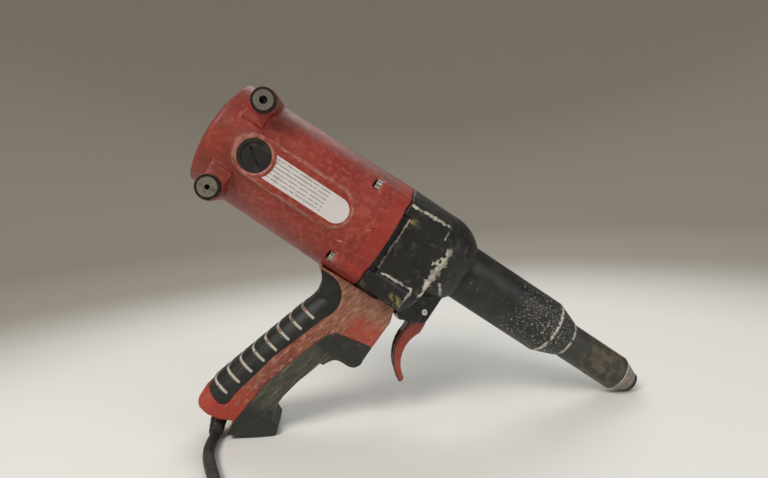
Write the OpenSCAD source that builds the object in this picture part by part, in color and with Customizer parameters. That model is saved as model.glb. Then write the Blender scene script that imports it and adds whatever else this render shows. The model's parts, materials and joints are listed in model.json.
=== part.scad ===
// Corded blind riveter: motor housing, gear case, pulling head and pistol grip.
// The tool is drawn along its own nose axis (+X forward, +Z up, origin where the
// nose axis meets the front face of the motor housing) and place() stands it up.

/* [Stance] */
// Slope of the nose axis below the horizontal, in degrees
tilt = 37.5; // [36.5:0.1:38.5]
// Height of the tool origin above the floor
lift = 130.4; // [128:0.1:134]
// Distance of the tool origin in front of the middle of the tool
shift = -16.8; // [-20:0.1:-14]

/* [Motor housing] */
// Radius of the housing at its front face
housing_r = 38.4; // [38:0.1:39.5]
// Radius of the housing at its rear end
housing_rear_r = 35.4; // [35:0.1:36]
// Length of the housing from front face to rear apex
housing_len = 130; // [130:0.5:132]
// Radius of the curved rear face
rear_face_r = 87; // [84:1:92]
// Thickness of the housing wall
housing_wall = 3.2; // [2.8:0.1:3.4]

/* [Rear cross tubes] */
// Bore radius of the upper cross tube
top_tube_bore = 2.4; // [2:0.1:3]
// Bore radius of the lower cross tube
bottom_tube_bore = 1.6; // [1.4:0.1:2.4]
// Full length of the cross tubes
cross_tube_len = 80; // [78:0.5:84]

/* [Gears] */
// Module of the first gear stage
module_a = 0.5; // [0.5:0.5:0.5]
// Teeth on the motor pinion
teeth_a1 = 12; // [12:1:12]
// Teeth on the first wheel
teeth_a2 = 60; // [60:1:60]
// Module of the second gear stage
module_b = 1; // [1:1:1]
// Teeth on the second pinion
teeth_b1 = 12; // [12:1:12]
// Teeth on the nut wheel
teeth_b2 = 44; // [44:1:44]

/* [Pulling head] */
// Radius of the screwed pulling spindle
spindle_r = 6; // [5.6:0.1:6]
// Radius of the front sleeve
sleeve_r = 19.1; // [18.5:0.1:20]
// Radius of the nose tube
nose_tube_r = 12.5; // [12.3:0.1:13]
// Radius of the hole that takes the rivet mandrel
mandrel_r = 1.7; // [1.3:0.1:2.5]

/* [Handle] */
// Width of the handle
handle_w = 33; // [32:0.5:35]

/* [Cord] */
// Diameter of the mains cord
cord_d = 7; // [6:0.5:8]
// Turns of cord side by side in one layer of the coil
coil_turns = 4; // [4:1:4]
// Layers of turns in the coil
coil_layers = 2; // [2:1:2]

/* [Hidden] */
$fn = 64;
run = 0.05;              // radial clearance of a running fit
stage_a = module_a * (teeth_a1 + teeth_a2) / 2;
stage_b = module_b * (teeth_b1 + teeth_b2) / 2;
motor_z = stage_a - stage_b;
counter_z = -stage_b;
grip_half = handle_w / 2;
cap_x = -92.9;           // brush caps
cap_r = 10;
pad_r = 12.7;            // raised pad round the cap and the nameplate
pad_x = -39.5;
pad_y = housing_r - 0.5;
cross_x = -105.2;
cross_top_z = 19.7;
cross_bottom_z = -39.8;
collar_r = 7.5;
screw_offset = 25.6;     // housing screws from the motor axis, both ways
screw_head_x = -21;
trigger_x = 50;          // trigger pivot
trigger_z = -36;
plunger_z = -47.6;
clamp_x = -24.3;         // cord clamp in the handle
coil_x = -97;
coil_y = -150.5;
coil_inner = 4 * cord_d;

// Route of the cord's centreline on the floor, from the strain relief to the coil
cord_route = [
    [-140.6, -13.05, 4.88], [-140.7, -15.2, 3.9], [-140.9, -19, 3.5], [-140.9, -25, 3.5], [-140.4, -33, 3.5],
    [-139, -41, 3.5], [-136.6, -50, 3.5], [-133.6, -59, 3.5], [-130.4, -68, 3.5], [-127.8, -77, 3.5],
    [-126.9, -86, 3.5], [-128.2, -96, 3.5], [-132, -107, 3.5], [-137.4, -118, 3.5]
];
// Route from the top of the coil down to the plug
tail_route = [
    [-97, -199.5, 10.5], [-82, -198.9, 10.5], [-68, -196.8, 9.4], [-55, -193.2, 7.4], [-44, -189, 6.6]
];
// Centreline of the strain relief, out of the handle end and down to the floor
relief_route = [
    [-127.7, 0, 25.8], [-131, 0, 22.2], [-134.3, -0.5, 18.9], [-137.2, -2, 15.6],
    [-139.2, -4.4, 11.8], [-140.2, -7.6, 8.2], [-140.5, -10.4, 6.1], [-140.6, -13, 4.9]
];
relief_r = [6, 6, 6, 5.8, 5.5, 5.1, 4.8, 4.6];

back_slope = 16.6;       // lean of the handle's back line
front_slope = 11.7;      // lean of the front pad's line

// The foot ends in a flat that lies on the floor
function on_floor(x) = [x, (-lift + x * sin(tilt)) / cos(tilt)];
foot_line = [on_floor(3.2), on_floor(11.2)];

// Outline of the whole handle with its pads
handle_outline = concat(
    arc(-36, -64, 20.2, 60, -34, 10),
    [[-24.2, -85], [-34.4, -117.9], [-42.1, -149], [-43.8, -156.5]],
    arc(-38.2, -159.6, 5.6, 190, 250, 4), [[-33, -166], [-25, -164.8], [-17, -161.3], [-15.5, -171.6]],
    foot_line, arc(7.4, -153.6, 3.7, -10, 50, 4), [[5.2, -148.6], [2.4, -145.6], [1.8, -142], [1.8, -131.8]],
    [[4.7, -117.8], [10.1, -103.8], [13.4, -97.2]], arc(20.5, -99, 7, 145, 90, 3),
    arc(26, -85.5, 6.6, -90, 18, 6), [[32.4, -77], [33.4, -53.2], [30, -42.2], [17.7, -42.2]],
    [[17.3, -45], [-10, -45.6], [-26, -46.4]]);

// Side line between the rear grip and the painted shell
rear_grip_line = concat([[-60, -40], [-26, -47.9]], arc(-16, -63, 15.2, 100, -35, 12),
    [[-18, -112], [-25.6, -146]], arc(-31, -150.6, 5.4, -10, -110, 6), [[-41, -153], [-60, -160]]);

// Side line between the front pad and the painted shell
front_pad_line = concat([[60, -73.6], [30.3, -73.6], [16.7, -75.9]], arc(13.4, -88.4, 11.7, 100, 165, 5),
    [[-2.2, -96.5], [-7.6, -113], [-12.5, -130.3], [-14.6, -147], [-16.2, -161.4], [-14, -190], [60, -190]]);

// Screws that join the handle halves: places in X and Z
handle_screw_places = [[1, -54.5], [-0.6, -80.5], [-13.4, -117], [-20.6, -141]];

// ---- helpers ---------------------------------------------------------------

// Stand the tool up: nose tip and handle foot on the floor
module place() {
    translate([shift, 0, lift]) rotate([0, tilt, 0]) children();
}

// Cylinder or cone along X from x0 to x1
module xcyl(r, x0, x1, y = 0, z = 0, r2 = -1) {
    translate([x0, y, z]) rotate([0, 90, 0])
        cylinder(h = x1 - x0, r1 = r, r2 = r2 < 0 ? r : r2);
}

// Ring along X
module xring(ro, ri, x0, x1, y = 0, z = 0) {
    difference() {
        xcyl(ro, x0, x1, y, z);
        xcyl(ri, x0 - 1, x1 + 1, y, z);
    }
}

// Solid turned about a line along X: points are [x, radius]
module xlathe(points, z = 0) {
    translate([0, 0, z]) rotate([0, 90, 0]) rotate_extrude()
        polygon([for (p = points) [p[1], p[0]]]);
}

// Cylinder along Y from y0 to y1
module ycyl(r, x, z, y0, y1) {
    translate([x, y0, z]) rotate([-90, 0, 0]) cylinder(h = y1 - y0, r = r);
}

// Side outline in X and Z, extruded from y0 to y1
module side(points, y0, y1) {
    translate([0, y1, 0]) rotate([90, 0, 0]) linear_extrude(height = y1 - y0) polygon(points);
}

// Cross-section in Y and Z, extruded from x0 to x1
module across_x(points, x0, x1) {
    translate([x0, 0, 0]) rotate([90, 0, 90]) linear_extrude(height = x1 - x0) polygon(points);
}

module box(x0, x1, y0, y1, z0, z1) {
    translate([x0, y0, z0]) cube([x1 - x0, y1 - y0, z1 - z0]);
}

// Points on an arc, from angle a0 to a1 in n steps
function arc(x, z, r, a0, a1, n) =
    [for (i = [0:n]) let (a = a0 + (a1 - a0) * i / n) [x + r * cos(a), z + r * sin(a)]];

// Copies at both signs of Y
module both_sides() {
    children();
    mirror([0, 1, 0]) children();
}

// Copies at the four housing screws
module at_screws() {
    for (sy = [-1, 1], sz = [-1, 1])
        translate([0, sy * screw_offset, motor_z + sz * screw_offset]) children();
}

// Spur gear along X: teeth are slim and straight-flanked, with running backlash
module gear(m, teeth, x0, x1, z, turn = 0) {
    pitch_r = m * teeth / 2;
    root_r = pitch_r - 1.2 * m;
    tip_r = pitch_r + 0.75 * m;
    translate([x0, 0, z]) rotate([0, 90, 0]) linear_extrude(height = x1 - x0)
        rotate(turn) union() {
            circle(r = root_r);
            for (i = [0:teeth - 1])
                rotate(360 * i / teeth)
                    polygon([[root_r - 0.4 * m, -0.82 * m], [pitch_r, -0.62 * m], [tip_r, -0.3 * m],
                             [tip_r, 0.3 * m], [pitch_r, 0.62 * m], [root_r - 0.4 * m, 0.82 * m]]);
        }
}

// Shielded bearing along X: outer race, inner race and the shield between them
module bearing(r_out, r_in, x0, x1, z) {
    race = (r_out - r_in) * 0.3;
    xring(r_out, r_out - race, x0, x1, 0, z);
    xring(r_in + race, r_in, x0, x1, 0, z);
    xring(r_out - race / 2, r_in + race / 2, x0 + 0.4, x1 - 0.4, 0, z);
}

// Tube swept along a route, with one radius per point
function unit(v) = v / norm(v);
function heading(p, i) = unit(p[min(i + 1, len(p) - 1)] - p[max(i - 1, 0)]);
function across(h) = unit(cross(h, abs(h[2]) > 0.9 ? [0, 1, 0] : [0, 0, 1]));
module sweep(p, radii, sides) {
    n = len(p);
    rings = [for (i = [0:n - 1])
        let (h = heading(p, i), u = across(h), v = cross(u, h))
        for (k = [0:sides - 1])
            let (a = 360 * (k + 0.5) / sides)
            p[i] + radii[i] * (cos(a) * u + sin(a) * v)];
    walls = [for (i = [0:n - 2], k = [0:sides - 1])
        let (a = i * sides + k, b = i * sides + (k + 1) % sides)
        each [[a, a + sides, b + sides], [a, b + sides, b]]];
    ends = [[for (k = [0:sides - 1]) k], [for (k = [sides - 1:-1:0]) (n - 1) * sides + k]];
    polyhedron(points = rings, faces = concat(walls, ends), convexity = 6);
}

// ---- motor housing ----------------------------------------------------------

module housing_skin() {
    xlathe(concat(arc(rear_face_r - housing_len, 0, rear_face_r, 180,
                      180 - asin(housing_rear_r / rear_face_r), 8),
                  [[cap_x - 6, 35.7], [0, housing_r], [0, 0]]), motor_z);
}

module cross_boss(z, toward) {
    ycyl(8.4, cross_x, z, -36, 36);
    box(cross_x - 7, cross_x + 7, -34.6, 34.6, min(z, z + toward), max(z, z + toward));
}

module pad_outline(r, y0, y1) {
    ycyl(r, cap_x, motor_z, y0, y1);
    ycyl(r, pad_x, motor_z, y0, y1);
    box(cap_x, pad_x, y0, y1, motor_z - r, motor_z + r);
}

module motor_housing() {
    color([0.62, 0.16, 0.13]) place() difference() {
        union() {
            difference() {
                union() {
                    housing_skin();
                    cross_boss(cross_top_z, -14);
                    cross_boss(cross_bottom_z, 14);
                    pad_outline(pad_r, -pad_y, pad_y);
                    at_screws() xcyl(5.6, screw_head_x, 0);
                }
                // cavity, wider to the front like the outside
                xlathe([[-119, 0], [-119, 30], [-116, housing_rear_r - housing_wall],
                        [1, housing_r - housing_wall + 0.1], [1, 0]], motor_z);
            }
            // the same bosses show inside
            at_screws() xcyl(4.2, screw_head_x, -2.4);
        }
        // seat of the rear bearing
        xcyl(11.02, -125, -110, 0, motor_z);
        // cross tubes, brush holders and caps
        ycyl(5.92, cross_x, cross_top_z, -60, 60);
        ycyl(5.92, cross_x, cross_bottom_z, -60, 60);
        ycyl(cap_r + run, cap_x, motor_z, -60, 60);
        // recess of the nameplate
        both_sides() nameplate_shape(0.1, pad_y - 0.5, pad_y + 5);
        // screws and the flats their heads sit on
        at_screws() xcyl(2.1, screw_head_x - 2, 1);
        at_screws() xcyl(4.3, screw_head_x - 4.4, screw_head_x);
        // air slots in the rear face
        both_sides() for (i = [-2:2])
            box(-140, -112, 13.5, 25, motor_z + 5.2 * i - 1.2, motor_z + 5.2 * i + 1.2);
    }
}

// Nameplate outline: round in front, hollow round the brush cap behind
module nameplate_shape(grow, y0, y1) {
    plate_r = 8 + grow;
    difference() {
        union() {
            ycyl(plate_r, -36.2, motor_z - 0.4, y0, y1);
            box(-84, -36.2, y0, y1, motor_z - 0.4 - plate_r, motor_z - 0.4 + plate_r);
        }
        ycyl(13.2 - grow, cap_x, motor_z, y0 - 1, y1 + 1);
    }
}

module nameplate() {
    color([0.9, 0.9, 0.9]) place() nameplate_shape(0, -pad_y - 0.05, -pad_y + 0.45);
}

module brush_cap(y_sign) {
    color([0.06, 0.06, 0.06]) place() mirror([0, y_sign > 0 ? 1 : 0, 0]) difference() {
        union() {
            ycyl(cap_r, cap_x, motor_z, -pad_y + 0.9, -31.2);
            ycyl(3.2, cap_x, motor_z, -31.3, -29.5);
        }
        ycyl(8.2, cap_x, motor_z, -pad_y - 1, -pad_y + 1.7);
        translate([cap_x, -pad_y + 2, motor_z]) rotate([0, 35, 0]) cube([12, 2.2, 1.8], center = true);
    }
}

module brush_holders() {
    color([0.78, 0.62, 0.3]) place() both_sides() difference() {
        box(cap_x - 5, cap_x + 5, 13.4, 31, motor_z - 6.5, motor_z + 6.5);
        box(cap_x - 3.6, cap_x + 3.6, 12, 32, motor_z - 5.1, motor_z + 5.1);
    }
}

module carbon_brushes() {
    color([0.12, 0.12, 0.13]) place() both_sides() difference() {
        box(cap_x - 3.3, cap_x + 3.3, 8, 21.5, motor_z - 4.8, motor_z + 4.8);
        xcyl(11.6, cap_x - 10, cap_x + 10, 0, motor_z);
    }
}

module brush_springs() {
    color([0.7, 0.7, 0.72]) place() both_sides()
        for (i = [0:4])
            translate([cap_x, 22.4 + 1.6 * i, motor_z]) rotate([90, 0, 0])
                rotate_extrude() translate([2.4, 0]) circle(r = 0.4, $fn = 16);
}

module cross_tube(z, bore) {
    color([0.62, 0.6, 0.57]) place() difference() {
        ycyl(5.9, cross_x, z, -cross_tube_len / 2, cross_tube_len / 2);
        ycyl(bore, cross_x, z, -60, 60);
    }
}

module rear_tube_top() { cross_tube(cross_top_z, top_tube_bore); }

module rear_tube_bottom() { cross_tube(cross_bottom_z, bottom_tube_bore); }

module rear_collars() {
    color([0.2, 0.19, 0.18]) place() both_sides() for (z = [cross_top_z, cross_bottom_z])
        difference() {
            ycyl(collar_r, cross_x, z, 36.1, cross_tube_len / 2 - 0.5);
            ycyl(5.95, cross_x, z, 30, 50);
        }
}

// ---- motor ------------------------------------------------------------------

module stator_core() {
    color([0.45, 0.46, 0.48]) place() difference() {
        xcyl(31, -76, -32, 0, motor_z);
        xcyl(20.6, -80, -28, 0, motor_z);
        // winding slots either side of the two poles
        for (a = [50, 130, 230, 310])
            translate([-80, 0, motor_z]) rotate([a, 0, 0]) box(0, 60, 20, 28, -4.5, 4.5);
    }
}

// One saddle winding round a pole: two end turns and two legs
module field_coil() {
    for (x = [-85, -31.5])
        translate([x, 0, 0]) rotate([0, 90, 0]) rotate([0, 0, -50])
            rotate_extrude(angle = 100) translate([22.2, 0]) square([5.4, 8.5]);
    for (a = [40, -40])
        rotate([a, 0, 0]) box(-84, -24, -3.8, 3.8, -27.4, -22.3);
}

module field_coils() {
    color([0.6, 0.3, 0.14]) place()
        for (turn = [0, 180])
            translate([0, 0, motor_z]) rotate([turn, 0, 0]) field_coil();
}

module armature_shaft() {
    color([0.7, 0.71, 0.73]) place() {
        xcyl(4, -125, 1.4, 0, motor_z);
        xcyl(3, 1.3, 8.1, 0, motor_z);
        gear(module_a, teeth_a1, 8, 16, motor_z);
    }
}

module armature_core() {
    color([0.5, 0.5, 0.52]) place() difference() {
        xcyl(20, -76, -32, 0, motor_z);
        xcyl(4.02, -80, -28, 0, motor_z);
        for (i = [0:11])
            translate([-80, 0, motor_z]) rotate([30 * i, 0, 0]) {
                box(0, 60, -0.9, 0.9, 16, 21);
                xcyl(2.4, 0, 60, 0, 14.6);
            }
    }
}

module commutator() {
    color([0.72, 0.45, 0.25]) place() difference() {
        xcyl(11.5, -104, -82.5, 0, motor_z);
        xcyl(4.02, -110, -80, 0, motor_z);
        for (i = [0:23])
            translate([-105, 0, motor_z]) rotate([15 * i, 0, 0]) box(0, 19, -0.25, 0.25, 10.6, 12);
    }
}

module cooling_fan() {
    color([0.15, 0.15, 0.16]) place() difference() {
        union() {
            xcyl(28, -13.5, -11.5, 0, motor_z);
            xcyl(7, -21, -11.5, 0, motor_z);
            for (i = [0:10])
                translate([-21, 0, motor_z]) rotate([360 * i / 11, 0, 0]) box(0, 8, -0.8, 0.8, 12, 28);
        }
        xcyl(4.02, -30, 0, 0, motor_z);
    }
}

module armature_bearing_rear() {
    color([0.75, 0.76, 0.78]) place() bearing(11, 4.02, -124.8, -118, motor_z);
}

module armature_bearing_front() {
    color([0.75, 0.76, 0.78]) place() bearing(11, 4.02, -5.6, 1.2, motor_z);
}

module bearing_plate() {
    color([0.66, 0.67, 0.68]) place() difference() {
        union() {
            intersection() {
                xcyl(33.6, -2, 6.5, 0, motor_z);
                box(-3, 7, -28.1, 28.1, -60, 40);
            }
            xcyl(14, -6, 6.5, 0, motor_z);
            xcyl(housing_r - housing_wall - 0.4, -2, -0.3, 0, motor_z);
        }
        at_screws() xcyl(2.4, -3, 0);
        xcyl(11.02, -7, 1.4, 0, motor_z);
        xcyl(5, 0, 10, 0, motor_z);
        xcyl(6.02, 2.4, 10, 0, counter_z);
        xcyl(spindle_r + 1, 5.5, 10);
    }
}

// ---- gear case ----------------------------------------------------------------

module gear_shell() {
    // round body with flat sides and a rounded front edge
    intersection() {
        xlathe(concat([[0, 0], [0, 38.3]], arc(33, 33.8, 4.5, 90, 0, 5), [[37.5, 0]]), motor_z);
        box(-1, 60, -31.5, 31.5, -60, 40);
    }
    // dome round the nose axis
    intersection() {
        translate([36, 0, -1]) sphere(r = 29.5);
        box(30, 57.6, -40, 40, -40, 40);
    }
    // screw bosses, which show as ledges along the flat sides
    for (sy = [-1, 1], sz = [-1, 1])
        translate([0, sy * screw_offset, motor_z + sz * screw_offset]) {
            xcyl(5.6, 0, 29.5);
            box(0, 29.5, min(0, sy * 7), max(0, sy * 7), -5.6, 5.6);
        }
    // lug that carries the trigger
    side(concat([[33.6, -24], [40, -12], [54.6, -17], [54.6, -36.5]],
                arc(50.2, -39.5, 4.4, 0, -62, 5), [[43, -47.2], [38, -49.4], [34, -48.6], [33.6, -42]]),
         -11, 11);
}

module gear_housing() {
    color([0.1, 0.11, 0.12]) place() difference() {
        gear_shell();
        // gear space, shallower over the screws of the handle
        difference() {
            intersection() {
                xcyl(33.9, -1, 30.8, 0, motor_z);
                box(-2, 31, -28.4, 28.4, -60, 40);
            }
            for (sy = [-1, 1])
                translate([23, sy * 10.8, -50]) cylinder(r = 4, h = 15);
            box(17, 32, -16, 16, -50, -39.5);
        }
        // step between the motor housing and the flat sides
        both_sides() box(-1, 5, 29.4, 40, motor_z - 20, motor_z + 20);
        // space ahead of the web, for the nut and its thrust bearing
        xcyl(16.6, 36, 46);
        // bearing seats in the web
        xcyl(16.02, 30, 37);
        xcyl(8.02, 30, 36.2, 0, counter_z);
        // seats of the front sleeve and of its spigot
        xcyl(15.02, 45, 60);
        xcyl(sleeve_r + 0.02, 50, 62);
        // underside notch that takes the top of the handle
        box(17.5, 33.6, -grip_half - 0.3, grip_half + 0.3, -60, -42);
        // slot, pin hole and push-rod hole of the trigger
        box(42.4, 57.6, -7, 7, -60, -30.4);
        ycyl(2.02, trigger_x, trigger_z, -20, 20);
        xcyl(1.6, 30, 45, 0, plunger_z);
        // tapped holes of the housing screws and of the handle screws
        at_screws() xcyl(1.98, -1, 24);
        for (sy = [-1, 1])
            translate([23, sy * 10.8, -43]) cylinder(r = 1.72, h = 8);
    }
}

module housing_screws() {
    color([0.75, 0.74, 0.7]) place() at_screws() difference() {
        union() {
            xcyl(1.95, screw_head_x - 0.1, 22);
            xcyl(4, screw_head_x - 3.4, screw_head_x - 0.02);
        }
        // cross recess
        box(screw_head_x - 4, screw_head_x - 1.6, -2.4, 2.4, -0.45, 0.45);
        box(screw_head_x - 4, screw_head_x - 1.6, -0.45, 0.45, -2.4, 2.4);
    }
}

module countershaft() {
    color([0.66, 0.67, 0.7]) place() {
        xcyl(3, 2.6, 8.1, 0, counter_z);
        xcyl(5, 8, 18.1, 0, counter_z);
        gear(module_b, teeth_b1, 18, 30.2, counter_z);
        xcyl(4, 30.1, 36, 0, counter_z);
    }
}

module countershaft_gear() {
    color([0.55, 0.55, 0.5]) place() difference() {
        gear(module_a, teeth_a2, 8.5, 15.5, counter_z, 180 / teeth_a2);
        xcyl(5.02, 8, 16, 0, counter_z);
    }
}

module countershaft_bearing_rear() {
    color([0.75, 0.76, 0.78]) place() bearing(6, 3.02, 2.5, 6.4, counter_z);
}

module countershaft_bearing_front() {
    color([0.75, 0.76, 0.78]) place() bearing(8, 4.02, 31.1, 36, counter_z);
}

module drive_nut() {
    color([0.72, 0.58, 0.3]) place() difference() {
        union() {
            xcyl(12, 18.8, 37.2);
            xcyl(15.2, 37.1, 40);
            xcyl(9.4, 39.9, 45.8);
        }
        xcyl(spindle_r + run, 10, 50);
    }
}

module nut_gear() {
    color([0.6, 0.6, 0.58]) place() difference() {
        gear(module_b, teeth_b2, 19.5, 29.5, 0, 180 / teeth_b2);
        xcyl(12.02, 19, 30);
    }
}

module nut_bearing() {
    color([0.75, 0.76, 0.78]) place() bearing(16, 12.02, 31.1, 36, 0);
}

module thrust_bearing() {
    color([0.75, 0.76, 0.78]) place() {
        xring(15.6, 9.5, 40.1, 41.7);
        xring(15.6, 9.5, 44.3, 45.9);
        for (i = [0:13])
            translate([43, 12.6 * cos(360 * i / 14), 12.6 * sin(360 * i / 14)]) sphere(r = 1.25);
        xring(13.3, 11.9, 42.7, 43.3);
    }
}

// ---- pulling head ---------------------------------------------------------------

module pulling_spindle() {
    color([0.6, 0.61, 0.62]) place() difference() {
        union() {
            // screwed part: thread drawn as rings of one lead
            xlathe(concat([[28, 0], [28, spindle_r - 0.6]],
                [for (i = [0:11]) each [[28.6 + 4 * i, spindle_r], [30.4 + 4 * i, spindle_r],
                                        [31 + 4 * i, spindle_r - 0.6], [32 + 4 * i, spindle_r - 0.6]]],
                [[77, spindle_r], [77, 0]]));
            xcyl(spindle_r, 76.9, 146);
            xcyl(9.8, 108, 124);
        }
        xcyl(2.6, 20, 150);
        // seat of the guide key
        box(112, 120, -2.02, 2.02, 7, 12);
    }
}

module spindle_key() {
    color([0.5, 0.5, 0.5]) place() box(112.1, 119.9, -2, 2, 7.1, 14.6);
}

module jaw_case() {
    color([0.42, 0.42, 0.44]) place() difference() {
        xlathe([[136, 0], [136, 10], [184, 10], [186, 8.6], [186, 0]]);
        xcyl(spindle_r + 0.02, 130, 146.02);
        xlathe([[146, 0], [146, 8.1], [166.6, 8.1], [185, 4.2], [187, 4.2], [187, 0]]);
    }
}

// One of three clamping jaws, set back along the cone by open_by
module jaw(index) {
    slope = atan((7.6 - 4.2) / 16);
    open_by = 2;
    color([0.35, 0.35, 0.37]) place() rotate([120 * index, 0, 0])
        translate([-open_by * cos(slope), 0, open_by * sin(slope)]) difference() {
            intersection() {
                xlathe([[169.5, 0], [169.5, 7.44], [184, 4.36], [184, 0]]);
                // third of the circle, a little short of its neighbours
                across_x([[0, 0.4], [17.3, 10.4], [0, 20], [-17.3, 10.4]], 160, 190);
            }
            // toothed grip on the mandrel
            for (i = [0:9])
                xcyl(0.9, 169.4 + 1.5 * i, 171 + 1.5 * i, r2 = 1.6);
        }
}

module jaw_1() { jaw(0); }

module jaw_2() { jaw(1); }

module jaw_3() { jaw(2); }

module jaw_pusher() {
    color([0.5, 0.5, 0.52]) place() difference() {
        union() {
            xcyl(8.04, 160, 163);
            xcyl(5, 155, 163);
            xcyl(4.2, 162.9, 167.2, r2 = 3.6);
        }
        xcyl(2.6, 150, 170);
    }
}

module pusher_spring() {
    color([0.7, 0.7, 0.72]) place()
        for (i = [0:5])
            translate([147.4 + 2.3 * i, 0, 0]) rotate([0, 90, 0])
                rotate_extrude() translate([6.1, 0]) circle(r = 0.6, $fn = 16);
}

module front_sleeve() {
    color([0.09, 0.09, 0.1]) place() difference() {
        xlathe([[46.2, 0], [46.2, 15], [50.1, 15], [50.1, sleeve_r], [129.2, sleeve_r],
                [145, 13.4], [145, 0]]);
        xcyl(10, 46, 51);
        xcyl(11.2, 50, 90);
        xcyl(15, 84, 132);
        xcyl(nose_tube_r + 0.02, 131, 146);
        // guide slot of the spindle key
        box(85, 125, -2.3, 2.3, 10, 15.2);
    }
}

module nose_tube() {
    color([0.1, 0.1, 0.1]) place() difference() {
        xcyl(nose_tube_r, 132, 191.4);
        xcyl(10.5, 130, 195);
    }
}

module nose_cone() {
    color([0.45, 0.42, 0.4]) place() difference() {
        xlathe([[187, 0], [187, 10.46], [191.42, 10.46], [191.42, 12.4], [203, 7.4], [203, 0]]);
        xcyl(5.02, 180, 210);
    }
}

module nosepiece() {
    color([0.12, 0.12, 0.12]) place() difference() {
        union() {
            xcyl(3.7, 184.4, 190);
            xcyl(5, 188, 203.1);
            xcyl(7, 203.02, 205);
        }
        xcyl(mandrel_r, 180, 210);
    }
}

// ---- handle -----------------------------------------------------------------

// Everything behind the handle's back line, with round back corners
module behind_round() {
    translate([-19.3, 0, -75.4]) rotate([0, back_slope, 0]) translate([0, 0, -120])
        linear_extrude(height = 160) round_front_2d(11);
    box(-60, 60, -40, 40, -62, 0);
}

module round_front_2d(r) {
    translate([r, -grip_half + r]) circle(r = r);
    translate([r, grip_half - r]) circle(r = r);
    translate([0, -grip_half + r]) square([r + 0.1, 2 * (grip_half - r)]);
    translate([r, -grip_half]) square([120, 2 * grip_half]);
}

// Everything behind the front pad's face, with round front corners
module before_round() {
    translate([4.4, 0, -131.8]) rotate([0, front_slope, 0]) translate([0, 0, -60])
        linear_extrude(height = 110) mirror([1, 0]) round_front_2d(8);
    box(-60, 60, -40, 40, -100, 0);
    box(-60, 60, -40, 40, -200, -146);
}

module handle_block(half) {
    intersection() {
        side(handle_outline, -half, half);
        behind_round();
        before_round();
    }
}

// Core that runs on under the rubber grip and the front pad
module handle_core() {
    side([[-20, -52], [-19.8, -60], [-22, -78], [-32.4, -118], [-39.6, -146], [-37, -150], [-20, -156],
          [-19, -130], [-2, -131], [6, -104], [14, -90], [25, -86], [28, -76], [20, -50]], -13, 13);
}

module handle_shells() {
    difference() {
        union() {
            difference() {
                handle_block(grip_half);
                side(rear_grip_line, -40, 40);
                side(front_pad_line, -40, 40);
            }
            intersection() {
                handle_core();
                handle_block(12.9);
            }
        }
        // saddle round the motor housing
        xcyl(housing_r + 0.25, -60, 0.3, 0, motor_z);
        xcyl(38.55, 0, 18, 0, motor_z);
        // inside
        side([[-10, -58], [-17, -62], [-18, -78], [-29, -118], [-30.4, -124.4], [-18, -124.4],
              [-7, -118], [2, -100], [10, -84], [25, -80], [29.5, -72], [30, -53], [27.5, -45.2], [18.6, -45.2],
              [18.6, -51.4]], -10.4, 10.4);
        cord_channel();
        // push-rod hole
        xcyl(1.6, 20, 40, 0, plunger_z);
        // screws
        for (p = handle_screw_places)
            ycyl(1.55, p[0], p[1], -12, 40);
        for (p = handle_screw_places)
            ycyl(3.1, p[0], p[1], 12.4, 40);
        for (sy = [-1, 1]) {
            translate([23, sy * 10.8, -50]) cylinder(r = 1.9, h = 20);
            translate([23, sy * 10.8, -52]) cylinder(r = 3.3, h = 5.6);
            translate([clamp_x, sy * 7.6, -131]) cylinder(r = 1.12, h = 8);
        }
    }
}

// Way of the cord from the hollow to the handle end, wider round the strain relief
module cord_channel() {
    translate([clamp_x, 0, -150]) cylinder(r = 4, h = 27);
    translate([-24, 0, -148]) rotate([0, 5.5, 0]) translate([0, 0, -30]) cylinder(r = 6.4, h = 30);
    translate([-25.8, 0, -168]) rotate([0, 5.5, 0]) cylinder(r1 = 9.6, r2 = 6.3, h = 11);
}

module handle_right() {
    color([0.6, 0.25, 0.2]) place() intersection() {
        handle_shells();
        box(-80, 80, -40, -0.05, -200, 0);
    }
}

module handle_left() {
    color([0.6, 0.25, 0.2]) place() intersection() {
        handle_shells();
        box(-80, 80, 0.05, 40, -200, 0);
    }
}

module handle_screws() {
    color([0.6, 0.6, 0.6]) place() {
        for (p = handle_screw_places) {
            ycyl(1.5, p[0], p[1], -11.8, 12.6);
            ycyl(2.9, p[0], p[1], 12.5, 15);
        }
        for (sy = [-1, 1]) {
            translate([23, sy * 10.8, -49]) cylinder(r = 1.7, h = 12);
            translate([23, sy * 10.8, -48.9]) cylinder(r = 3, h = 2.4);
        }
    }
}

module rear_grip() {
    color([0.07, 0.08, 0.08]) place() difference() {
        intersection() {
            side(handle_outline, -grip_half, grip_half);
            behind_round();
            side(rear_grip_line, -40, 40);
        }
        handle_core_cut();
        cord_channel();
        xcyl(housing_r + 0.25, -60, 0.3, 0, motor_z);
    }
}

// Hollow of the two grips, a little larger than the core
module handle_core_cut() {
    intersection() {
        handle_core();
        box(-80, 80, -12.95, 12.95, -200, 0);
    }
}

module front_grip() {
    color([0.2, 0.21, 0.18]) place() difference() {
        intersection() {
            side(handle_outline, -grip_half, grip_half);
            before_round();
            side(front_pad_line, -40, 40);
        }
        handle_core_cut();
        cord_channel();
    }
}

// ---- switch and trigger --------------------------------------------------------

module switch_body() {
    color([0.1, 0.1, 0.12]) place() difference() {
        union() {
            box(7, 26, -7.6, 7.6, -74, -55.2);
            box(19.4, 27, -4, 4, -55.3, -45.6);
        }
        xcyl(1.42, 21.5, 30, 0, plunger_z);
    }
}

module switch_plunger() {
    color([0.75, 0.7, 0.6]) place() {
        xcyl(1.36, 24.4, 44.9, 0, plunger_z);
    }
}

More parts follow.
